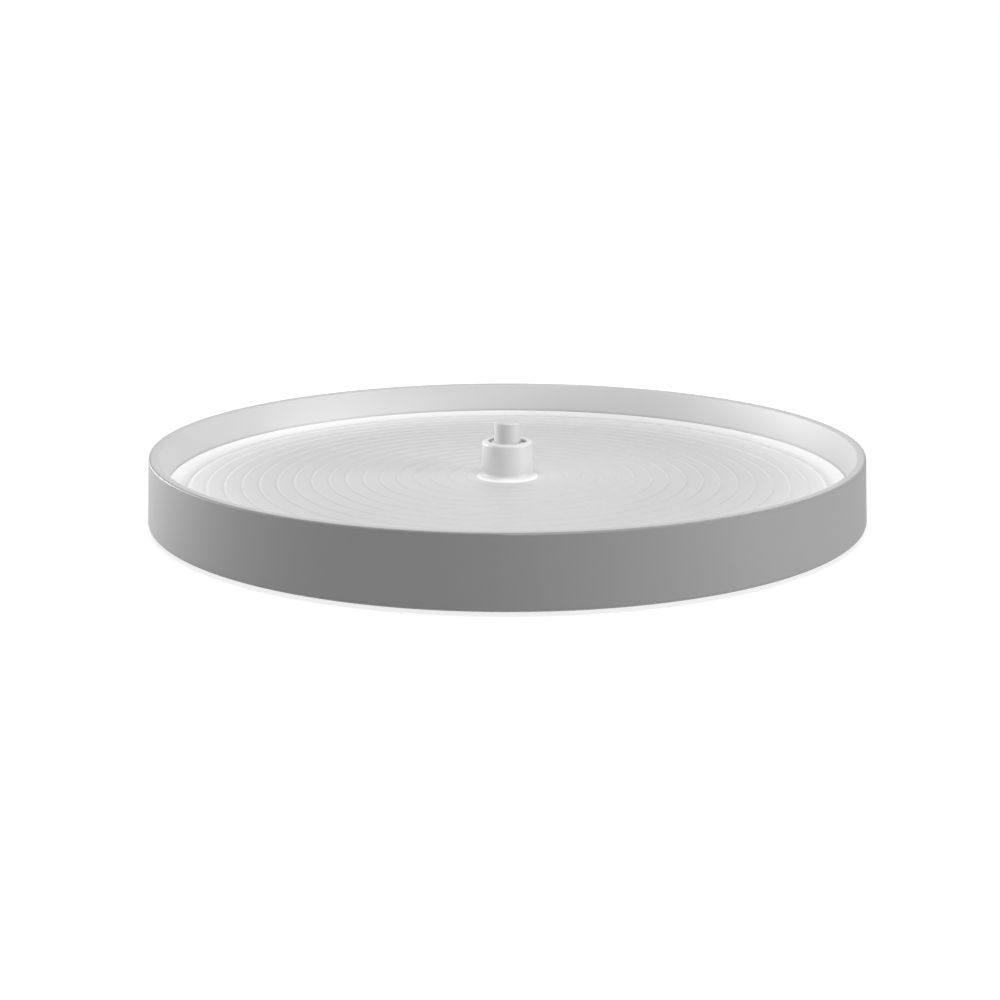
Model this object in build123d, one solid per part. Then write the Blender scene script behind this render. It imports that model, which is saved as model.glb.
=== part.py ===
from build123d import *
import math
import os

# A round kitchen turntable: a white ribbed tray with a grey skirt, which turns on a ring of balls
# about an upright spindle. Sizes are in millimetres. The origin is on the table, under the spindle,
# and heights are counted upwards from the table.

# Tray outline
tray_diameter = 410.0  # widest place, the bottom edge of the skirt
skirt_draft = 2.3  # how far the skirt leans in on its way up
skirt_thickness = 2.4
skirt_ground_gap = 2.0
skirt_bottom_round = 1.6
rim_rise = 20.4  # from the floor up to the top of the rim
rim_land = 5.0  # width of the flat top of the rim
rim_outer_round = 0.9
rim_inner_round = 1.0
lip_height = 1.0  # the white lip that covers the top edge of the skirt
skirt_seat_height = 4.0  # the stretch below the lip that the skirt is bonded to
wall_lean = 3.6  # how far the inner wall leans out on its way up
wall_thickness = 2.4

# Tray floor
floor_thickness = 3.0
border_recess = 0.6  # step in the edge of the floor that the cove and the wall stand in
cove_width = 10.5
cove_rise = 2.5
rib_pitch = 9.84
rib_width = 2.0
rib_height = 0.35
first_rib_radius = 24.7
stiffener_count = 36
stiffener_thickness = 2.0
stiffener_depth = 4.0
stiffener_end_gap = 3.0  # from the seat of the race, and from the foot of the wall

# Hub
collar_diameter = 29.2
collar_height = 21.0  # above the floor
collar_bore_diameter = 22.0
collar_top_round = 1.6
collar_mouth_chamfer = 0.4
collar_foot_round = 3.4
collar_foot_sink = 0.6  # the foot lies this deep in a recess of the floor
sleeve_diameter = 26.0  # the part of the collar that passes through the floor
sleeve_end = 0.5  # what shows of the sleeve below the nut
hub_nut_diameter = 40.0
hub_nut_thickness = 4.0
hub_nut_notches = 6
hub_nut_notch_width = 5.0
hub_nut_notch_depth = 2.5
bush_flange_diameter = 25.4
bush_flange_thickness = 1.5
washer_thickness = 1.0
washer_edge_gap = 0.4
clip_diameter = 18.2
clip_thickness = 1.2
clip_play = 0.3
clip_sink = 0.7  # the clip lies this far below the top of the collar
clip_mouth = 8.0  # width of the clip's opening

# Spindle
post_diameter = 15.3
post_rise = 11.2  # what stands free above the collar
post_top_chamfer = 0.6
clip_groove_depth = 0.9
tenon_diameter = 11.0
flange_diameter = 44.0
flange_thickness = 2.5
flange_screw_circle = 30.0
flange_screw_count = 4

# Ball bearing
ball_diameter = 6.0
ball_count = 24
ball_clearance = 0.08
race_diameter = 150.0
race_width = 18.0
race_thickness = 2.8
race_groove_depth = 1.2
race_screw_count = 6
race_pad = 1.0  # raised seat below the floor
race_pad_margin = 1.0
cage_width = 12.0
cage_thickness = 1.6
pocket_clearance = 0.15

# Base
base_diameter = 300.0
base_thickness = 3.6
base_lip_width = 3.0
base_lip_height = 3.0
base_edge_round = 1.0
boss_diameter = 52.0
boss_height = 3.0
foot_count = 6
foot_inset = 20.0  # from the edge of the base to the middle of a foot
foot_diameter = 18.0
foot_stand = 1.6  # what shows of a foot below the base
foot_pocket = 1.5
foot_edge_round = 0.8

# Countersunk screws
screw_diameter = 2.5
screw_head_diameter = 4.8
screw_head_height = 1.3
screw_skin = 1.2  # what is left beyond the end of a blind hole
screw_tip_gap = 0.2
screw_slot_width = 0.7
screw_slot_depth = 0.7
screw_slot_length = 2.6

# Clearances
running_clearance = 0.05
bonded_gap = 0.1
press_gap = 0.02

# Heights, from the table up
base_bottom = foot_stand
base_top = base_bottom + base_thickness
boss_top = base_top + boss_height
lower_race_top = base_top + race_thickness
ball_reach = ball_diameter / 2 + ball_clearance
ball_center_height = lower_race_top + ball_reach - race_groove_depth
upper_race_bottom = 2 * ball_center_height - lower_race_top
upper_race_top = upper_race_bottom + race_thickness
floor_bottom = upper_race_top + race_pad
floor_top = floor_bottom + floor_thickness
border_bottom = floor_top - border_recess
wall_foot_height = floor_top + cove_rise
rim_top = floor_top + rim_rise
lip_bottom = rim_top - lip_height
collar_top = floor_top + collar_height
collar_foot_bottom = floor_top - collar_foot_sink
hub_nut_bottom = floor_bottom - hub_nut_thickness
sleeve_bottom = hub_nut_bottom - sleeve_end
clip_top = collar_top - clip_sink
clip_bottom = clip_top - clip_thickness
washer_top = clip_bottom - clip_play
bush_top = washer_top - washer_thickness
post_top = collar_top + post_rise

# Radii
skirt_bottom_radius = tray_diameter / 2
rim_radius = skirt_bottom_radius - skirt_draft
wall_top_radius = rim_radius - rim_land
wall_foot_radius = wall_top_radius - wall_lean
cove_outer_radius = wall_foot_radius - bonded_gap
cove_radius = cove_outer_radius - cove_width
border_radius = cove_radius - bonded_gap
post_radius = post_diameter / 2
bore_radius = collar_bore_diameter / 2
collar_radius = collar_diameter / 2
collar_foot_radius = collar_radius + collar_foot_round
sleeve_radius = sleeve_diameter / 2
race_radius = race_diameter / 2
race_inner_radius = race_radius - race_width / 2
race_outer_radius = race_radius + race_width / 2
groove_half_width = math.sqrt(ball_reach**2 - (ball_reach - race_groove_depth) ** 2)
race_screw_radius = (race_inner_radius + race_radius - groove_half_width) / 2
pad_inner_radius = race_inner_radius - race_pad_margin
pad_outer_radius = race_outer_radius + race_pad_margin
foot_circle_radius = base_diameter / 2 - foot_inset

# Depth of the blind screw holes
race_screw_hole = race_pad + floor_thickness - screw_skin
base_screw_hole = base_thickness - screw_skin
flange_screw_hole = base_thickness - flange_thickness + boss_height - screw_skin


def at(point):
    """A (radius, height) point of an outline, placed beside the axis."""
    radius, height = point
    return (radius, 0, height)


def turned(points, rounds=()):
    """An outline of (radius, height) points turned about the axis, with some corners rounded."""
    outline = Face(Wire.make_polygon([at(point) for point in points], close=True))
    for corner, size in rounds:
        nearest = outline.vertices().sort_by_distance(at(corner))[0]
        outline = outline.fillet_2d(size, [nearest])
    return revolve(outline, axis=Axis.Z)


def tube(inner, outer, bottom, top):
    """A plain ring with its faces at two heights."""
    return turned([(inner, bottom), (outer, bottom), (outer, top), (inner, top)])


def round_hole(radius, bottom, top):
    """An upright cylinder to cut with."""
    return Pos(0, 0, bottom) * Cylinder(radius, top - bottom, align=(Align.CENTER, Align.CENTER, Align.MIN))


def circle_of(piece, radius, count):
    """Copies of a piece spaced evenly on a circle about the axis."""
    return [place * piece for place in PolarLocations(radius, count)]


def screw(length):
    """A countersunk screw that points down, with the top of its head at height zero."""
    shank = screw_diameter / 2
    head = screw_head_diameter / 2
    body = turned(
        [
            (0, 0),
            (head, 0),
            (shank, -screw_head_height),
            (shank, -length + shank),
            (shank / 2, -length),
            (0, -length),
        ]
    )
    slot = Box(screw_slot_length, screw_slot_width, 2 * screw_slot_depth)
    return body - [slot, Rot(Z=90) * slot]


def screw_hole(depth):
    """The countersunk clearance hole for a screw that points down from height zero."""
    shank = screw_diameter / 2 + bonded_gap
    head = screw_head_diameter / 2 + bonded_gap
    return turned([(0, 0), (head, 0), (shank, -screw_head_height), (shank, -depth), (0, -depth)])


def pilot_hole(depth):
    """The blind hole that the shank of a screw bites into, opening downwards at height zero."""
    return round_hole(screw_diameter / 2 + press_gap, 0, depth)


def upside_down(piece):
    return Rot(X=180) * piece


def skirt_inner_radius(height):
    """The radius of the sloping inner face of the skirt."""
    lean = skirt_draft * (height - skirt_ground_gap) / (rim_top - skirt_ground_gap)
    return skirt_bottom_radius - lean - skirt_thickness


def rib_radii():
    room = border_radius - rib_width / 2 - first_rib_radius
    return [first_rib_radius + rib_pitch * index for index in range(int(room / rib_pitch) + 1)]


def tray_floor():
    """The ribbed floor, with a step for the cove and the wall, and a seat for the upper race below."""
    hole = sleeve_radius + bonded_gap
    recess = collar_foot_radius + bonded_gap
    edge = (recess, floor_top)
    surface = []
    for radius in rib_radii():
        near = (radius - rib_width / 2, floor_top)
        crown = (radius, floor_top + rib_height)
        far = (radius + rib_width / 2, floor_top)
        surface.append(Line(at(edge), at(near)))
        surface.append(ThreePointArc(at(near), at(crown), at(far)))
        edge = far
    edge_and_underside = [
        edge,
        (border_radius, floor_top),
        (border_radius, border_bottom),
        (skirt_inner_radius(border_bottom) - bonded_gap, border_bottom),
        (skirt_inner_radius(floor_bottom) - bonded_gap, floor_bottom),
        (pad_outer_radius, floor_bottom),
        (pad_outer_radius, upper_race_top),
        (pad_inner_radius, upper_race_top),
        (pad_inner_radius, floor_bottom),
        (hole, floor_bottom),
        (hole, collar_foot_bottom),
        (recess, collar_foot_bottom),
        (recess, floor_top),
    ]
    surface += Polyline([at(point) for point in edge_and_underside]).edges()
    disc = revolve(Face(Wire(surface)), axis=Axis.Z)
    inner_end = pad_outer_radius + stiffener_end_gap
    stiffener = Pos(0, 0, floor_bottom - stiffener_depth) * Box(
        wall_foot_radius - stiffener_end_gap - inner_end,
        stiffener_thickness,
        stiffener_depth + floor_thickness / 2,
        align=(Align.MIN, Align.CENTER, Align.MIN),
    )
    pilot = Pos(0, 0, upper_race_top) * pilot_hole(race_screw_hole)
    disc += circle_of(stiffener, inner_end, stiffener_count)
    return disc - circle_of(pilot, race_screw_radius, race_screw_count)


def cove_ring():
    """The smooth border that curves up from the floor to the wall."""
    inner = (cove_radius, floor_top)
    outer = (cove_outer_radius, wall_foot_height)
    below = [
        outer,
        (cove_outer_radius, border_bottom),
        (cove_radius, border_bottom),
        inner,
    ]
    edges = Polyline([at(point) for point in below]).edges()
    edges.append(TangentArc(at(inner), at(outer), tangent=(1, 0, 0)))
    return revolve(Face(Wire(edges)), axis=Axis.Z)


def rim_ring():
    """The leaning wall, which stands on the edge of the floor, with its top land and its lip."""
    seat_bottom = lip_bottom - skirt_seat_height
    seat_share = (seat_bottom - wall_foot_height) / (rim_top - wall_foot_height)
    wall_back_radius = wall_foot_radius + wall_lean * seat_share + wall_thickness
    outline = [
        (wall_foot_radius, border_bottom),
        (wall_foot_radius + wall_thickness, border_bottom),
        (wall_back_radius, seat_bottom),
        (skirt_inner_radius(seat_bottom) - bonded_gap, seat_bottom),
        (skirt_inner_radius(lip_bottom) - bonded_gap, lip_bottom),
        (rim_radius, lip_bottom),
        (rim_radius, rim_top),
        (wall_top_radius, rim_top),
        (wall_foot_radius, wall_foot_height),
    ]
    rounds = [((rim_radius, rim_top), rim_outer_round), ((wall_top_radius, rim_top), rim_inner_round)]
    return turned(outline, rounds)


def skirt_band():
    """The grey band round the outside, from below the lip to just above the table."""
    bottom = skirt_ground_gap
    outline = [
        (skirt_inner_radius(bottom), bottom),
        (skirt_bottom_radius, bottom),
        (skirt_inner_radius(lip_bottom) + skirt_thickness, lip_bottom),
        (skirt_inner_radius(lip_bottom), lip_bottom),
    ]
    return turned(outline, [((skirt_bottom_radius, bottom), skirt_bottom_round)])


def hub_collar():
    """The collar with its rounded foot, and the sleeve that passes through the floor."""
    foot_arc_start = (collar_foot_radius, floor_top)
    foot_arc_end = (collar_radius, floor_top + collar_foot_round)
    outer = [
        (bore_radius, sleeve_bottom),
        (sleeve_radius, sleeve_bottom),
        (sleeve_radius, collar_foot_bottom),
        (collar_foot_radius, collar_foot_bottom),
        foot_arc_start,
    ]
    upper = [
        foot_arc_end,
        (collar_radius, collar_top),
        (bore_radius + collar_mouth_chamfer, collar_top),
        (bore_radius, collar_top - collar_mouth_chamfer),
        (bore_radius, sleeve_bottom),
    ]
    edges = Polyline([at(point) for point in outer]).edges()
    edges.append(TangentArc(at(foot_arc_start), at(foot_arc_end), tangent=(-1, 0, 0)))
    edges += Polyline([at(point) for point in upper]).edges()
    outline = Face(Wire(edges))
    top_corner = outline.vertices().sort_by_distance(at((collar_radius, collar_top)))[0]
    return revolve(outline.fillet_2d(collar_top_round, [top_corner]), axis=Axis.Z)


def hub_nut():
    """A ring nut with spanner notches, which clamps the collar from below the floor."""
    outer = hub_nut_diameter / 2
    ring = tube(sleeve_radius + bonded_gap, outer, hub_nut_bottom, floor_bottom)
    notch = Pos(0, 0, hub_nut_bottom) * Box(
        2 * hub_nut_notch_depth,
        hub_nut_notch_width,
        hub_nut_thickness,
        align=(Align.CENTER, Align.CENTER, Align.MIN),
    )
    return ring - circle_of(notch, outer, hub_nut_notches)


def hub_bush():
    """The flanged plain bearing, pressed into the collar from below."""
    running = post_radius + running_clearance
    outer = bore_radius - press_gap
    flange = bush_flange_diameter / 2
    flange_bottom = sleeve_bottom - bush_flange_thickness
    return turned(
        [
            (running, flange_bottom),
            (flange, flange_bottom),
            (flange, sleeve_bottom),
            (outer, sleeve_bottom),
            (outer, bush_top),
            (running, bush_top),
        ]
    )


def thrust_washer():
    return tube(post_radius + clip_play, bore_radius - washer_edge_gap, bush_top, washer_top)


def retaining_clip():
    """A split ring in the groove of the spindle."""
    inner = post_radius - clip_groove_depth + press_gap
    ring = tube(inner, clip_diameter / 2, clip_bottom + press_gap, clip_top - press_gap)
    mouth = Pos(0, 0, clip_bottom) * Box(
        clip_diameter,
        clip_mouth,
        clip_thickness,
        align=(Align.MIN, Align.CENTER, Align.MIN),
    )
    return ring - mouth


def spindle():
    """The post, with the groove for the clip and the tenon that is fixed in the flange."""
    tenon = tenon_diameter / 2
    groove = post_radius - clip_groove_depth
    flange_top = base_bottom + flange_thickness
    return turned(
        [
            (0, base_bottom),
            (tenon, base_bottom),
            (tenon, flange_top),
            (post_radius, flange_top),
            (post_radius, clip_bottom),
            (groove, clip_bottom),
            (groove, clip_top),
            (post_radius, clip_top),
            (post_radius, post_top - post_top_chamfer),
            (post_radius - post_top_chamfer, post_top),
            (0, post_top),
        ]
    )


def spindle_flange():
    """The disc in the underside of the base that anchors the spindle."""
    bore = tenon_diameter / 2 + press_gap
    disc = tube(bore, flange_diameter / 2, base_bottom, base_bottom + flange_thickness)
    hole = Pos(0, 0, base_bottom) * upside_down(screw_hole(flange_thickness))
    return disc - circle_of(hole, flange_screw_circle / 2, flange_screw_count)


def flange_screws():
    length = flange_thickness + flange_screw_hole - screw_tip_gap
    return circle_of(
        Pos(0, 0, base_bottom) * upside_down(screw(length)), flange_screw_circle / 2, flange_screw_count
    )


def grooved_ring(bottom, top):
    """A flat ring with a round groove in the face that looks at the balls."""
    groove = Torus(race_radius, ball_reach)
    return tube(race_inner_radius, race_outer_radius, bottom, top) - Pos(0, 0, ball_center_height) * groove


def upper_race():
    ring = grooved_ring(upper_race_bottom, upper_race_top)
    hole = Pos(0, 0, upper_race_bottom) * upside_down(screw_hole(race_thickness))
    return ring - circle_of(hole, race_screw_radius, race_screw_count)


def lower_race():
    ring = grooved_ring(base_top, lower_race_top)
    hole = Pos(0, 0, lower_race_top) * screw_hole(race_thickness)
    return ring - circle_of(hole, race_screw_radius, race_screw_count)


def upper_race_screws():
    length = race_thickness + race_screw_hole - screw_tip_gap
    return circle_of(
        Pos(0, 0, upper_race_bottom) * upside_down(screw(length)), race_screw_radius, race_screw_count
    )


def lower_race_screws():
    length = race_thickness + base_screw_hole - screw_tip_gap
    return circle_of(Pos(0, 0, lower_race_top) * screw(length), race_screw_radius, race_screw_count)


def bearing_balls():
    return circle_of(Pos(0, 0, ball_center_height) * Sphere(ball_diameter / 2), race_radius, ball_count)


def ball_cage():
    """A flat ring with a round pocket for each ball."""
    bottom = ball_center_height - cage_thickness / 2
    top = ball_center_height + cage_thickness / 2
    ring = tube(race_radius - cage_width / 2, race_radius + cage_width / 2, bottom, top)
    pocket = round_hole(ball_diameter / 2 + pocket_clearance, bottom, top)
    return ring - circle_of(pocket, race_radius, ball_count)


def base_plate():
    """The plate that stands on the feet, with an edge lip, a centre boss and pockets below."""
    outer = base_diameter / 2
    lip = outer - base_lip_width
    boss = boss_diameter / 2
    bore = post_radius + press_gap
    pocket = flange_diameter / 2 + bonded_gap
    pocket_top = base_bottom + flange_thickness
    plate = turned(
        [
            (bore, pocket_top),
            (pocket, pocket_top),
            (pocket, base_bottom),
            (outer, base_bottom),
            (outer, base_top + base_lip_height),
            (lip, base_top + base_lip_height),
            (lip, base_top),
            (boss, base_top),
            (boss, boss_top),
            (bore, boss_top),
        ],
        [((outer, base_bottom), base_edge_round), ((outer, base_top + base_lip_height), base_edge_round)],
    )
    foot_hole = round_hole(foot_diameter / 2 + bonded_gap, base_bottom, base_bottom + foot_pocket)
    race_pilot = Pos(0, 0, base_top - base_screw_hole) * pilot_hole(base_screw_hole)
    flange_pilot = Pos(0, 0, pocket_top) * pilot_hole(flange_screw_hole)
    plate -= circle_of(foot_hole, foot_circle_radius, foot_count)
    plate -= circle_of(race_pilot, race_screw_radius, race_screw_count)
    return plate - circle_of(flange_pilot, flange_screw_circle / 2, flange_screw_count)


def foot():
    """A rubber foot with a rounded lower edge, as long as its pocket and its stand together."""
    outer = foot_diameter / 2
    top = base_bottom + foot_pocket
    return turned([(0, 0), (outer, 0), (outer, top), (0, top)], [((outer, 0), foot_edge_round)])


def all_pieces():
    """Every node by name: one solid, or a list of equal solids."""
    pieces = {
        "tray_floor": tray_floor(),
        "cove_ring": cove_ring(),
        "rim_ring": rim_ring(),
        "skirt_band": skirt_band(),
        "hub_collar": hub_collar(),
        "hub_nut": hub_nut(),
        "hub_bush": hub_bush(),
        "thrust_washer": thrust_washer(),
        "upper_race": upper_race(),
        "upper_race_screws": upper_race_screws(),
        "ball_cage": ball_cage(),
        "bearing_balls": bearing_balls(),
        "base_plate": base_plate(),
        "lower_race": lower_race(),
        "lower_race_screws": lower_race_screws(),
        "spindle": spindle(),
        "spindle_flange": spindle_flange(),
        "flange_screws": flange_screws(),
        "retaining_clip": retaining_clip(),
    }
    for index, placed in enumerate(circle_of(foot(), foot_circle_radius, foot_count)):
        pieces[f"foot_{index + 1}"] = placed
    return pieces


os.makedirs("parts", exist_ok=True)
for name, piece in all_pieces().items():
    shape = Compound(children=piece) if isinstance(piece, list) else piece
    export_step(shape, f"parts/{name}.step")
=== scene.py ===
import math

import bmesh
import bpy
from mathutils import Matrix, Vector


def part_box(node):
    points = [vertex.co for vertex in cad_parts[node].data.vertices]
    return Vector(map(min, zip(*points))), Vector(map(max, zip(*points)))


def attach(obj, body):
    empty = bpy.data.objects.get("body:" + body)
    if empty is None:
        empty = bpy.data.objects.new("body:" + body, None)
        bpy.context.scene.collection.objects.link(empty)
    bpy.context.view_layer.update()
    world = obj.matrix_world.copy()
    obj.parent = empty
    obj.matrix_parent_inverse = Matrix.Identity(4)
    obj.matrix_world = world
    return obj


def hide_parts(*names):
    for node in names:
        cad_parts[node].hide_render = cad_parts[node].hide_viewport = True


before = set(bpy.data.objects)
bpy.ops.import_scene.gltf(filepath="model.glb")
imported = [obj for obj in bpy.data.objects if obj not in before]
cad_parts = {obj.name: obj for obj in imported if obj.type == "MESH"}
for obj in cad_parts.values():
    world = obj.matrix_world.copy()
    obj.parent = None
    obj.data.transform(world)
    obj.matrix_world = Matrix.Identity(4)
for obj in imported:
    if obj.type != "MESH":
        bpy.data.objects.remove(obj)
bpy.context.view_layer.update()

# A round kitchen turntable in the finish of its photograph: white satin plastic inside, a grey skirt
# outside, and plain bearing metal below. Lengths are in metres.
MM = 0.001


def grey(level):
    """A neutral colour."""
    return (level, level, level, 1.0)


# Colours, as linear light
FLOOR_WHITE = grey(0.645)
# Painted light: the floor's lighter border and the cove's base colour stand in for light off the cove and
# wall
BORDER_PAINTED_LIGHT = grey(0.80)
# Painted highlight: the cove's brightest colour stands in for the bright line of light the cove catches
COVE_PAINTED_HIGHLIGHT = grey(0.92)
WALL_WHITE = grey(0.60)
# Painted shade: the land on top of the rim is painted darker than the wall
LAND_PAINTED_SHADE = grey(0.515)
# Painted shade: the crease at the wall's foot is painted darker where shade falls
SEAM_SHADE = grey(0.44)
LIP_GREY = grey(0.25)
HUB_WHITE = grey(0.68)
# Painted highlight: the collar's foot fillet is painted brighter in place of the light it catches
HUB_FOOT_PAINTED_HIGHLIGHT = grey(0.93)
POST_WHITE = grey(0.61)
SKIRT_GREY = (0.248, 0.248, 0.25, 1.0)
BASE_GREY = (0.30, 0.30, 0.305, 1.0)
ACETAL = (0.74, 0.73, 0.70, 1.0)
ZINC = (0.56, 0.57, 0.58, 1.0)
SCREW_ZINC = (0.62, 0.63, 0.62, 1.0)
BALL_STEEL = (0.70, 0.71, 0.72, 1.0)
RUBBER = (0.045, 0.045, 0.047, 1.0)
PURE_WHITE = grey(1.0)

# Camera, from the ellipses of the rim and the skirt in the photograph
AIM_HEIGHT = 2.0 * MM
CAMERA_DISTANCE = 0.8878
CAMERA_ELEVATION = math.radians(14.09)
SENSOR_WIDTH = 36.0
LENS = 54.61
SHIFT_X = -0.00738
SHIFT_Y = 0.00335
CLIP_START = 0.01

# The rim's painted shade and lip: how far up the wall the painted shade in its seam shows, and how far
# below the top the land's painted shade starts and is full, and the same for the rub on the lip, measured
# in from its edge
SEAM_WIDTH = 1.6 * MM
LAND_START = 0.8 * MM
LAND_FULL = 0.2 * MM
LIP_START = 1.6 * MM
LIP_FULL = 0.6 * MM

# Radii between which the floor, the cove and the collar's foot turn to their painted lighter colour:
# painted light on the floor near the cove, and a painted highlight on the cove and on the collar's foot
PAINTED_FLOOR_LIGHT_RADII = (135.0 * MM, 184.0 * MM)
PAINTED_COVE_HIGHLIGHT_RADII = (184.0 * MM, 188.0 * MM)
PAINTED_HUB_FOOT_HIGHLIGHT_RADII = (14.7 * MM, 16.5 * MM)
PAINTED_LIGHT_CURVE = 1.5

# How often the slow patterns of a skin come along a metre, and the streaks of turned rings in one ring
RIPPLES_PER_METRE = 110.0
GLOSS_CLOUDS_PER_METRE = 14.0
SMUDGES_PER_METRE = 22.0
STREAKS_PER_RING = 0.37

# Where the masks of the effects start and end: on a noise without its rare ends, on a noise's higher
# part, by the distance from a speck's middle, and by how alike the rounded and true normals are
NOISE_RANGE = (0.3, 0.7)
SMUDGE_RANGE = (0.52, 0.72)
SPECK_RANGE = (0.02, 0.05)
EDGE_RANGE = (0.75, 0.98)

# A mask that grows over its range, and one that fades
RISING = (0.0, 1.0)
FALLING = (1.0, 0.0)

# Moulded plastic: its ripple, how strongly the colours of edges and specks show, how light a speck is,
# and how far the roughness changes
PLASTIC_RIPPLE = 0.1
EDGE_STRENGTH = 0.5
SPECK_STRENGTH = 0.5
SPECK_GAIN = 0.92
PLASTIC_GLOSS_CHANGE = 0.02
SMUDGE_GLOSS_CHANGE = 0.02

# Tone and gloss of turned metal, and the bloom on rubber
DARK_STREAK_GAIN = 0.8
BRIGHT_EDGE_GAIN = 1.15
METAL_GRAIN_SHARE = 0.5
METAL_GLOSS_CHANGE = 0.05
BLOOM_SHARE = 0.35
BLOOM_GAIN = 2.4
RUBBER_ROUGHNESS = 0.75
RUBBER_GLOSS_CHANGE = 0.05

# Anisotropic rotation counts in whole turns
QUARTER_TURN = 0.25

# The grip grooves in the sole of a rubber foot
GROOVE_COUNT = 3
FIRST_GROOVE = 1.5 * MM
GROOVE_PITCH = 2.2 * MM
GROOVE_WIDTH = 1.1 * MM
GROOVE_SLOPE = 0.25 * MM
GROOVE_DEPTH = 0.6 * MM
FOOT_EDGE_ROUND = 0.8 * MM
FOOT_EDGE_STEPS = 5
TURNED_SEGMENTS = 64
SHARP_ANGLE = math.radians(35.0)

# Studio: the lamps' distance from the height they aim at, and the radii of the floor's soft shadow
LAMP_DISTANCE = 1.6
LAMP_TARGET = 20.0 * MM
SHADOW_FULL = 0.25
SHADOW_END = 0.60
SHADOW_DEPTH = 0.75

# The studio floor lies a hair under the feet, so that the two faces don't meet
FLOOR_HEIGHT = -0.2 * MM

# Sockets of the colour mixing node, which share their names with its other kinds
MIX_SHARE = 0
MIX_FIRST = 6
MIX_SECOND = 7
MIX_RESULT = 2


# Helpers for node trees

def add_node(tree, kind, inputs=None, **settings):
    """A node with its settings made, and each input set to a value or linked to an output."""
    made = tree.nodes.new("ShaderNode" + kind)
    for name, value in settings.items():
        setattr(made, name, value)
    for key, value in (inputs or {}).items():
        if isinstance(value, bpy.types.NodeSocket):
            tree.links.new(value, made.inputs[key])
        else:
            made.inputs[key].default_value = value
    return made


def calculate(tree, operation, first, second=0.0):
    """The result of one sum on two values."""
    return add_node(tree, "Math", {0: first, 1: second}, operation=operation).outputs[0]


def spread(tree, value, between, to=RISING):
    """A value moved from one range to another, and held inside the new one."""
    low, high = between
    new_low, new_high = to
    ranges = {"Value": value, "From Min": low, "From Max": high, "To Min": new_low, "To Max": new_high}
    return add_node(tree, "MapRange", ranges).outputs["Result"]


def mix_colours(tree, share, first, second):
    """The first colour where the share is 0, and the second where it is 1."""
    inputs = {MIX_SHARE: share, MIX_FIRST: first, MIX_SECOND: second}
    return add_node(tree, "Mix", inputs, data_type="RGBA").outputs[MIX_RESULT]


def new_group(name, inputs, outputs):
    """An empty shader group with its named sockets, and what to read from and write to inside it."""
    tree = bpy.data.node_groups.new(name, "ShaderNodeTree")
    for label, kind, value in inputs:
        socket = tree.interface.new_socket(label, in_out="INPUT", socket_type="NodeSocket" + kind)
        socket.default_value = value
    for label, kind in outputs:
        tree.interface.new_socket(label, in_out="OUTPUT", socket_type="NodeSocket" + kind)
    source = tree.nodes.new("NodeGroupInput")
    sink = tree.nodes.new("NodeGroupOutput")
    return tree, source.outputs, sink.inputs


def place_group(tree, group, **inputs):
    """A group placed in a material, with its values given by name."""
    labelled = {label.replace("_", " ").capitalize(): value for label, value in inputs.items()}
    return add_node(tree, "Group", labelled, node_tree=group).outputs


def radius_of(tree):
    """The distance from the spindle's axis."""
    point = add_node(tree, "TexCoord").outputs["Object"]
    flat = add_node(tree, "VectorMath", {0: point, 1: (1.0, 1.0, 0.0)}, operation="MULTIPLY").outputs[0]
    return add_node(tree, "VectorMath", {0: flat}, operation="LENGTH").outputs["Value"]


def height_of(tree):
    """The height above the table."""
    point = add_node(tree, "TexCoord").outputs["Object"]
    return add_node(tree, "SeparateXYZ", {"Vector": point}).outputs["Z"]


# Effects that several finishes share

def moulded_skin_group():
    """The skin of moulded plastic: a fine grain, a faint ripple and slow changes of gloss."""
    inputs = [("Grain size", "Float", 0.4 * MM), ("Relief", "Float", 0.5), ("Ripple", "Float", 0.5)]
    tree, given, out = new_group("moulded_skin", inputs, [("Height", "Float"), ("Gloss change", "Float")])
    point = add_node(tree, "TexCoord").outputs["Object"]
    grain_scale = calculate(tree, "DIVIDE", 1.0, given["Grain size"])
    grain = add_node(tree, "TexNoise", {"Vector": point, "Scale": grain_scale, "Detail": 2.0})
    ripple = add_node(tree, "TexNoise", {"Vector": point, "Scale": RIPPLES_PER_METRE, "Detail": 1.0})
    cloud = add_node(tree, "TexNoise", {"Vector": point, "Scale": GLOSS_CLOUDS_PER_METRE, "Detail": 3.0})
    fine = calculate(tree, "MULTIPLY", grain.outputs["Fac"], given["Relief"])
    slow = calculate(tree, "MULTIPLY", ripple.outputs["Fac"], given["Ripple"])
    tree.links.new(calculate(tree, "ADD", fine, slow), out["Height"])
    gloss_change = spread(tree, cloud.outputs["Fac"], NOISE_RANGE, to=(-1.0, 1.0))
    tree.links.new(gloss_change, out["Gloss change"])
    return tree


def handling_group():
    """What use leaves behind: a few dust specks and soft smudges, as masks."""
    inputs = [("Speck size", "Float", 9.0 * MM), ("Speck share", "Float", 0.06)]
    tree, given, out = new_group("handling", inputs, [("Specks", "Float"), ("Smudges", "Float")])
    point = add_node(tree, "TexCoord").outputs["Object"]
    scale = calculate(tree, "DIVIDE", 1.0, given["Speck size"])
    cells = add_node(tree, "TexVoronoi", {"Vector": point, "Scale": scale})
    chance = add_node(tree, "SeparateColor", {"Color": cells.outputs["Color"]}).outputs["Red"]
    chosen = calculate(tree, "LESS_THAN", chance, given["Speck share"])
    near = spread(tree, cells.outputs["Distance"], SPECK_RANGE, to=FALLING)
    smudge = add_node(tree, "TexNoise", {"Vector": point, "Scale": SMUDGES_PER_METRE, "Detail": 1.0})
    tree.links.new(calculate(tree, "MULTIPLY", chosen, near), out["Specks"])
    tree.links.new(spread(tree, smudge.outputs["Fac"], SMUDGE_RANGE), out["Smudges"])
    return tree


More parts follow.
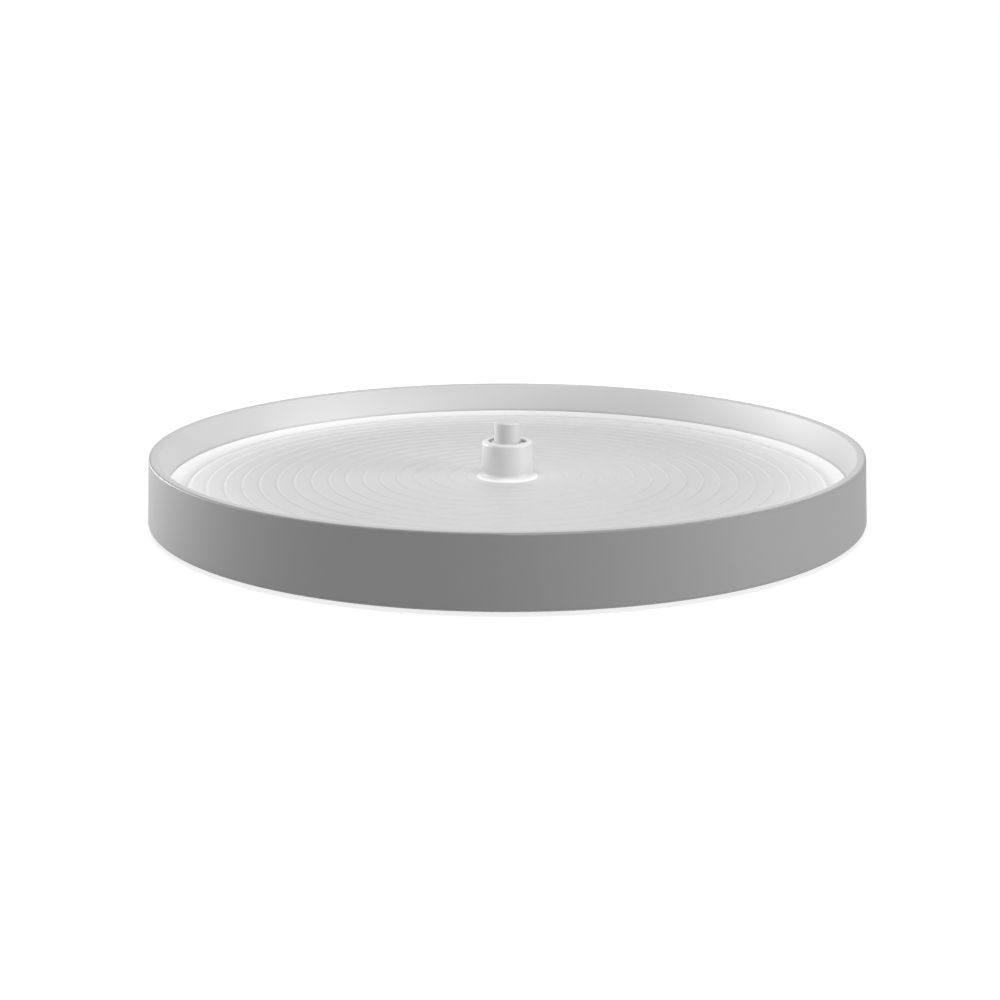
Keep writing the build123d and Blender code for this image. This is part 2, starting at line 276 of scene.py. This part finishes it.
def edge_group():
    """Edges as moulds and hands leave them: a small rounding, and a mask of where it lies."""
    inputs = [("Edge width", "Float", 0.3 * MM)]
    tree, given, out = new_group("worn_edge", inputs, [("Rounded normal", "Vector"), ("Edge", "Float")])
    rounded = add_node(tree, "Bevel", {"Radius": given["Edge width"]}, samples=4).outputs["Normal"]
    true_normal = add_node(tree, "NewGeometry").outputs["Normal"]
    alike = add_node(tree, "VectorMath", {0: rounded, 1: true_normal}, operation="DOT_PRODUCT")
    tree.links.new(rounded, out["Rounded normal"])
    tree.links.new(spread(tree, alike.outputs["Value"], EDGE_RANGE, to=FALLING), out["Edge"])
    return tree


def turned_lines_group():
    """Fine rings about the spindle, as a lathe or a turned mould leaves them."""
    inputs = [("Pitch", "Float", 0.5 * MM), ("Wander", "Float", 0.2)]
    tree, given, out = new_group("turned_lines", inputs, [("Height", "Float"), ("Streak", "Float")])
    count = calculate(tree, "DIVIDE", radius_of(tree), given["Pitch"])
    streaks = {"W": count, "Scale": STREAKS_PER_RING, "Detail": 2.0}
    uneven = add_node(tree, "TexNoise", streaks, noise_dimensions="1D")
    shift = calculate(tree, "MULTIPLY", uneven.outputs["Fac"], given["Wander"])
    turn = calculate(tree, "MULTIPLY", calculate(tree, "ADD", count, shift), 2.0 * math.pi)
    wave = spread(tree, calculate(tree, "SINE", turn), (-1.0, 1.0))
    tree.links.new(wave, out["Height"])
    tree.links.new(uneven.outputs["Fac"], out["Streak"])
    return tree


moulded_skin = moulded_skin_group()
handling = handling_group()
worn_edge = edge_group()
turned_lines = turned_lines_group()


# Finishes

def new_material(name):
    """An empty material, with its tree and its one surface shader."""
    material = bpy.data.materials.new(name)
    material.use_nodes = True
    tree = material.node_tree
    tree.nodes.clear()
    surface = add_node(tree, "BsdfPrincipled")
    output = add_node(tree, "OutputMaterial", {"Surface": surface.outputs["BSDF"]})
    output.is_active_output = True
    return material, tree, surface


def tinted(colour, gain):
    """A colour made lighter or darker by a factor."""
    return tuple(min(1.0, gain * part) for part in colour[:3]) + (1.0,)


def moulded_plastic(
    name, colour, roughness, grain=0.4 * MM, relief=0.1, edge_width=0.3 * MM, edge_gain=1.05
):
    """Injection moulded plastic with a grained skin, softened edges and faint marks of use.

    An edge width of 0 leaves the edges as they are."""
    material, tree, surface = new_material(name)
    skin = place_group(tree, moulded_skin, grain_size=grain, relief=relief, ripple=PLASTIC_RIPPLE)
    marks = place_group(tree, handling)
    bump = {"Strength": 0.25, "Distance": 0.1 * MM, "Height": skin["Height"]}
    worn = colour
    if edge_width > 0.0:
        edge = place_group(tree, worn_edge, edge_width=edge_width)
        on_edge = calculate(tree, "MULTIPLY", edge["Edge"], EDGE_STRENGTH)
        worn = mix_colours(tree, on_edge, colour, tinted(colour, edge_gain))
        bump["Normal"] = edge["Rounded normal"]
    on_speck = calculate(tree, "MULTIPLY", marks["Specks"], SPECK_STRENGTH)
    coloured = mix_colours(tree, on_speck, worn, tinted(colour, SPECK_GAIN))
    tree.links.new(coloured, surface.inputs["Base Color"])
    wear = calculate(tree, "MULTIPLY", marks["Smudges"], SMUDGE_GLOSS_CHANGE)
    clouds = calculate(tree, "MULTIPLY", skin["Gloss change"], PLASTIC_GLOSS_CHANGE)
    change = calculate(tree, "ADD", clouds, wear)
    tree.links.new(calculate(tree, "ADD", change, roughness), surface.inputs["Roughness"])
    tree.links.new(add_node(tree, "Bump", bump).outputs["Normal"], surface.inputs["Normal"])
    return material


def surface_of(material):
    """The surface shader of a finish."""
    return next(node for node in material.node_tree.nodes if node.type == "BSDF_PRINCIPLED")


def turn_the_gloss(material, share):
    """Draws the gloss out across rings about the spindle, as on a turned mould."""
    tree = material.node_tree
    surface = surface_of(material)
    around = add_node(tree, "Tangent", direction_type="RADIAL", axis="Z").outputs["Tangent"]
    surface.inputs["Anisotropic"].default_value = share
    surface.inputs["Anisotropic Rotation"].default_value = QUARTER_TURN
    tree.links.new(around, surface.inputs["Tangent"])


def colour_over(material, share, colour):
    """Lays another colour over the one a finish has, by a mask."""
    base = surface_of(material).inputs["Base Color"]
    colour_below = base.links[0].from_socket
    tree = material.node_tree
    tree.links.new(mix_colours(tree, share, colour_below, colour), base)


def paint_light_between_radii(material, painted_light_colour, radii):
    """Paints light over the colour between two radii: a lighter ring of painted light or a painted
    highlight.
    """
    tree = material.node_tree
    rise = spread(tree, radius_of(tree), radii)
    colour_over(material, calculate(tree, "POWER", rise, PAINTED_LIGHT_CURVE), painted_light_colour)


def paint_rim_shade_and_lip_grey(material, foot, top, lip_radius):
    """Painted shade in the seam at the wall's foot, a land painted darker on top as shade, and a grey rub
    along the outer lip.
    """
    tree = material.node_tree
    height = height_of(tree)
    in_seam_painted_shade = spread(tree, height, (foot, foot + SEAM_WIDTH), to=FALLING)
    # Painted shade in the crease at the wall's foot
    colour_over(material, in_seam_painted_shade, SEAM_SHADE)
    on_land_painted_shade = spread(tree, height, (top - LAND_START, top - LAND_FULL))
    # Painted shade on the land's top
    colour_over(material, on_land_painted_shade, LAND_PAINTED_SHADE)
    on_lip = spread(tree, radius_of(tree), (lip_radius - LIP_START, lip_radius - LIP_FULL))
    colour_over(material, on_lip, LIP_GREY)


def turned_metal(name, colour, roughness, pitch, depth):
    """Bright metal with fine turned rings and a slow change of tone."""
    material, tree, surface = new_material(name)
    rings = place_group(tree, turned_lines, pitch=pitch, wander=1.5)
    skin = place_group(tree, moulded_skin, grain_size=0.25 * MM, relief=0.3, ripple=0.2)
    edge = place_group(tree, worn_edge, edge_width=0.2 * MM)
    streak = spread(tree, rings["Streak"], NOISE_RANGE)
    tone = mix_colours(tree, streak, tinted(colour, DARK_STREAK_GAIN), colour)
    worn = mix_colours(tree, edge["Edge"], tone, tinted(colour, BRIGHT_EDGE_GAIN))
    tree.links.new(worn, surface.inputs["Base Color"])
    surface.inputs["Metallic"].default_value = 1.0
    change = calculate(tree, "MULTIPLY", skin["Gloss change"], METAL_GLOSS_CHANGE)
    tree.links.new(calculate(tree, "ADD", change, roughness), surface.inputs["Roughness"])
    grain = calculate(tree, "MULTIPLY", skin["Height"], METAL_GRAIN_SHARE)
    height = calculate(tree, "ADD", rings["Height"], grain)
    bump = {"Strength": depth, "Distance": 0.05 * MM, "Height": height, "Normal": edge["Rounded normal"]}
    tree.links.new(add_node(tree, "Bump", bump).outputs["Normal"], surface.inputs["Normal"])
    return material


def matt_rubber(name, colour):
    """Dark rubber with a powdery bloom on its edges."""
    material, tree, surface = new_material(name)
    skin = place_group(tree, moulded_skin, grain_size=0.3 * MM, relief=0.8, ripple=0.3)
    edge = place_group(tree, worn_edge, edge_width=0.6 * MM)
    marks = place_group(tree, handling, speck_size=3.0 * MM, speck_share=0.3)
    rubbed = calculate(tree, "ADD", edge["Edge"], marks["Smudges"])
    in_bloom = calculate(tree, "MULTIPLY", rubbed, BLOOM_SHARE)
    bloomed = mix_colours(tree, in_bloom, colour, tinted(colour, BLOOM_GAIN))
    tree.links.new(bloomed, surface.inputs["Base Color"])
    change = calculate(tree, "MULTIPLY", skin["Gloss change"], RUBBER_GLOSS_CHANGE)
    tree.links.new(calculate(tree, "ADD", change, RUBBER_ROUGHNESS), surface.inputs["Roughness"])
    bump = {"Strength": 0.5, "Distance": 0.15 * MM, "Height": skin["Height"]}
    bump["Normal"] = edge["Rounded normal"]
    tree.links.new(add_node(tree, "Bump", bump).outputs["Normal"], surface.inputs["Normal"])
    return material


floor_white = moulded_plastic("floor_white", FLOOR_WHITE, roughness=0.38, relief=0.04, edge_width=0.0)
# Painted light: the floor is painted lighter towards the cove
paint_light_between_radii(floor_white, BORDER_PAINTED_LIGHT, PAINTED_FLOOR_LIGHT_RADII)
# Painted highlight: the whole cove is painted lighter than the floor, and brightest towards its outer
# radii
cove_white = moulded_plastic("cove_white", BORDER_PAINTED_LIGHT, roughness=0.14, relief=0.05, edge_width=0.0)
paint_light_between_radii(cove_white, COVE_PAINTED_HIGHLIGHT, PAINTED_COVE_HIGHLIGHT_RADII)
wall_white = moulded_plastic("wall_white", WALL_WHITE, roughness=0.50, relief=0.10)
wall_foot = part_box("cove_ring")[1][2]
lip_radius, _, rim_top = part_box("rim_ring")[1]
paint_rim_shade_and_lip_grey(wall_white, wall_foot, rim_top, lip_radius)
hub_white = moulded_plastic("hub_white", HUB_WHITE, roughness=0.34, relief=0.05)
# Painted highlight on the collar's foot
paint_light_between_radii(hub_white, HUB_FOOT_PAINTED_HIGHLIGHT, PAINTED_HUB_FOOT_HIGHLIGHT_RADII)
post_white = moulded_plastic("post_white", POST_WHITE, roughness=0.60, relief=0.2)
skirt_grey = moulded_plastic(
    "skirt_grey", SKIRT_GREY, roughness=0.62, grain=0.5 * MM, relief=0.35,
    edge_width=0.4 * MM, edge_gain=1.3
)
base_grey = moulded_plastic(
    "base_grey", BASE_GREY, roughness=0.50, grain=0.6 * MM, relief=0.7, edge_width=0.0
)
natural_acetal = moulded_plastic(
    "natural_acetal", ACETAL, roughness=0.38, grain=0.3 * MM, relief=0.2, edge_width=0.2 * MM
)
zinc_steel = turned_metal("zinc_steel", ZINC, roughness=0.34, pitch=0.45 * MM, depth=0.25)
screw_zinc = turned_metal("screw_zinc", SCREW_ZINC, roughness=0.28, pitch=0.3 * MM, depth=0.15)
ball_steel = turned_metal("ball_steel", BALL_STEEL, roughness=0.10, pitch=0.2 * MM, depth=0.01)
foot_rubber = matt_rubber("foot_rubber", RUBBER)

turn_the_gloss(floor_white, share=0.6)
turn_the_gloss(zinc_steel, share=0.7)
surface_of(floor_white).inputs["Specular IOR Level"].default_value = 0.3
surface_of(cove_white).inputs["Coat Weight"].default_value = 1.0
surface_of(cove_white).inputs["Coat Roughness"].default_value = 0.12

FINISHES = {
    "tray_floor": floor_white,
    "cove_ring": cove_white,
    "rim_ring": wall_white,
    "skirt_band": skirt_grey,
    "hub_collar": hub_white,
    "hub_nut": base_grey,
    "hub_bush": natural_acetal,
    "thrust_washer": natural_acetal,
    "upper_race": zinc_steel,
    "upper_race_screws": screw_zinc,
    "ball_cage": natural_acetal,
    "bearing_balls": ball_steel,
    "base_plate": base_grey,
    "lower_race": zinc_steel,
    "lower_race_screws": screw_zinc,
    "spindle": post_white,
    "spindle_flange": zinc_steel,
    "flange_screws": screw_zinc,
    "retaining_clip": natural_acetal,
}

FEET = [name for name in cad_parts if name.startswith("foot_")]


def dress_nodes():
    """Each piece gets its finish in place of the plain one it came with."""
    for name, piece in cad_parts.items():
        finish = foot_rubber if name in FEET else FINISHES[name]
        piece.material_slots[0].material = finish


dress_nodes()


# Rubber feet

def grip_profile(outer, height):
    """The half section of a foot, from the middle of its sole round to the middle of its top."""
    profile = [(0.0, 0.0)]
    for groove in range(GROOVE_COUNT):
        start = FIRST_GROOVE + groove * GROOVE_PITCH
        end = start + GROOVE_WIDTH
        profile.append((start, 0.0))
        profile.append((start + GROOVE_SLOPE, GROOVE_DEPTH))
        profile.append((end - GROOVE_SLOPE, GROOVE_DEPTH))
        profile.append((end, 0.0))
    for step in range(FOOT_EDGE_STEPS + 1):
        turn = math.pi / 2 * step / FOOT_EDGE_STEPS
        radius = outer - FOOT_EDGE_ROUND * (1.0 - math.sin(turn))
        profile.append((radius, FOOT_EDGE_ROUND * (1.0 - math.cos(turn))))
    profile.append((outer, height))
    profile.append((0.0, height))
    return profile


def turned_mesh(name, profile, base):
    """A closed mesh turned from a half section that starts and ends on the upright axis through base."""
    shape = bmesh.new()
    angles = [2.0 * math.pi * segment / TURNED_SEGMENTS for segment in range(TURNED_SEGMENTS)]
    rings = []
    for radius, height in profile:
        spokes = [Vector((radius * math.cos(angle), radius * math.sin(angle), height)) for angle in angles]
        points = spokes if radius > 0.0 else spokes[:1]
        rings.append([shape.verts.new(base + point) for point in points])
    for lower, upper in zip(rings, rings[1:]):
        for segment in range(TURNED_SEGMENTS):
            after = (segment + 1) % TURNED_SEGMENTS
            below = [lower[segment], lower[after]] if len(lower) > 1 else lower
            above = [upper[after], upper[segment]] if len(upper) > 1 else upper
            shape.faces.new(below + above)
    bmesh.ops.recalc_face_normals(shape, faces=shape.faces)
    mesh = bpy.data.meshes.new(name)
    shape.to_mesh(mesh)
    shape.free()
    mesh.shade_smooth()
    mesh.set_sharp_from_angle(angle=SHARP_ANGLE)
    return mesh


def grip_foot(node):
    """A rubber foot with ring grooves in its sole, in the place of the plain one."""
    low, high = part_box(node)
    base = Vector(((low.x + high.x) / 2, (low.y + high.y) / 2, low.z))
    mesh = turned_mesh(node + "_grip", grip_profile((high.x - low.x) / 2, high.z - low.z), base)
    mesh.materials.append(foot_rubber)
    foot = bpy.data.objects.new(node + "_grip", mesh)
    bpy.context.scene.collection.objects.link(foot)
    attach(foot, "base")
    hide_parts(node)


for foot_node in FEET:
    grip_foot(foot_node)


# Studio

def softbox(name, azimuth, elevation, width, height, level):
    """A rectangular lamp aimed at the tray. Level 1 lights a white face turned to it to plain white.

    Azimuth 0 is the camera's side, and it grows to the right."""
    lamp = bpy.data.lights.new(name, "AREA")
    lamp.shape = "RECTANGLE"
    lamp.size = width
    lamp.size_y = height
    lamp.energy = level * (math.pi * LAMP_DISTANCE) ** 2
    turn = math.radians(azimuth)
    rise = math.radians(elevation)
    away = Vector((math.sin(turn) * math.cos(rise), -math.cos(turn) * math.cos(rise), math.sin(rise)))
    target = Vector((0.0, 0.0, LAMP_TARGET))
    placed = bpy.data.objects.new(name, lamp)
    placed.location = target + away * LAMP_DISTANCE
    placed.rotation_euler = away.to_track_quat("Z", "Y").to_euler()
    bpy.context.scene.collection.objects.link(placed)


def seen_directly(tree):
    """1 for rays from the camera, and for mirrored and bent ones, else 0."""
    path = add_node(tree, "LightPath").outputs
    direct = calculate(tree, "MAXIMUM", path["Is Camera Ray"], path["Is Glossy Ray"])
    return calculate(tree, "MAXIMUM", direct, path["Is Transmission Ray"])


def white_surround(ambient):
    """A world that looks white and lights the object with a softer share."""
    world = bpy.data.worlds.new("white_surround")
    world.use_nodes = True
    tree = world.node_tree
    tree.nodes.clear()
    light = add_node(tree, "Background", {"Color": PURE_WHITE, "Strength": ambient})
    look = add_node(tree, "Background", {"Color": PURE_WHITE, "Strength": 1.0})
    mixed = add_node(tree, "MixShader", {0: seen_directly(tree), 1: light.outputs[0], 2: look.outputs[0]})
    add_node(tree, "OutputWorld", {"Surface": mixed.outputs[0]})
    bpy.context.scene.world = world


def studio_floor(size, pale, shadow_share):
    """A plain pale floor that looks white and still takes the object's shadow.

    From below it isn't there, and it holds no lamp back, so that the underside can be seen."""
    half = size / 2
    outline = ((-half, -half), (half, -half), (half, half), (-half, half))
    corners = [(x, y, FLOOR_HEIGHT) for x, y in outline]
    mesh = bpy.data.meshes.new("studio_floor")
    mesh.from_pydata(corners, [], [(0, 1, 2, 3)])
    floor = bpy.data.objects.new("studio_floor", mesh)
    floor.visible_shadow = False
    bpy.context.scene.collection.objects.link(floor)
    material = bpy.data.materials.new("studio_floor")
    material.use_nodes = True
    material.cycles.emission_sampling = "NONE"
    tree = material.node_tree
    tree.nodes.clear()
    point = add_node(tree, "TexCoord").outputs["Object"]
    distance = add_node(tree, "VectorMath", {0: point}, operation="LENGTH").outputs["Value"]
    glow_in_shadow = 1.0 - SHADOW_DEPTH * shadow_share
    glow = spread(tree, distance, (SHADOW_FULL, SHADOW_END), to=(glow_in_shadow, 1.0))
    lit = add_node(tree, "BsdfDiffuse", {"Color": grey(shadow_share)})
    shine = add_node(tree, "Emission", {"Color": PURE_WHITE, "Strength": glow})
    look = add_node(tree, "AddShader", {0: lit.outputs[0], 1: shine.outputs[0]})
    plain = add_node(tree, "BsdfDiffuse", {"Color": grey(pale)})
    mixed = add_node(tree, "MixShader", {0: seen_directly(tree), 1: plain.outputs[0], 2: look.outputs[0]})
    below = add_node(tree, "NewGeometry").outputs["Backfacing"]
    clear = add_node(tree, "BsdfTransparent")
    one_sided = add_node(tree, "MixShader", {0: below, 1: mixed.outputs[0], 2: clear.outputs[0]})
    add_node(tree, "OutputMaterial", {"Surface": one_sided.outputs[0]})
    mesh.materials.append(material)


def photo_camera():
    """A camera where the photograph was taken from."""
    data = bpy.data.cameras.new("photo_camera")
    data.sensor_fit = "HORIZONTAL"
    data.sensor_width = SENSOR_WIDTH
    data.lens = LENS
    data.shift_x = SHIFT_X
    data.shift_y = SHIFT_Y
    data.clip_start = CLIP_START
    camera = bpy.data.objects.new("photo_camera", data)
    away = Vector((0.0, -math.cos(CAMERA_ELEVATION), math.sin(CAMERA_ELEVATION)))
    camera.location = Vector((0.0, 0.0, AIM_HEIGHT)) + away * CAMERA_DISTANCE
    camera.rotation_euler = (math.pi / 2 - CAMERA_ELEVATION, 0.0, 0.0)
    bpy.context.scene.collection.objects.link(camera)
    bpy.context.scene.camera = camera


white_surround(ambient=0.03)
studio_floor(size=12.0, pale=0.75, shadow_share=0.3)
softbox("top_light", azimuth=0.0, elevation=70.0, width=1.2, height=0.7, level=0.85)
softbox("back_light", azimuth=180.0, elevation=48.0, width=1.6, height=0.5, level=0.16)
softbox("right_light", azimuth=70.0, elevation=7.0, width=0.9, height=0.2, level=0.63)
softbox("left_light", azimuth=-92.0, elevation=7.0, width=0.8, height=0.2, level=0.31)
softbox("left_back_light", azimuth=-122.0, elevation=4.0, width=0.7, height=0.16, level=0.53)
softbox("under_light", azimuth=0.0, elevation=-90.0, width=0.5, height=0.5, level=0.30)
photo_camera()
bpy.context.scene.view_settings.view_transform = "Standard"
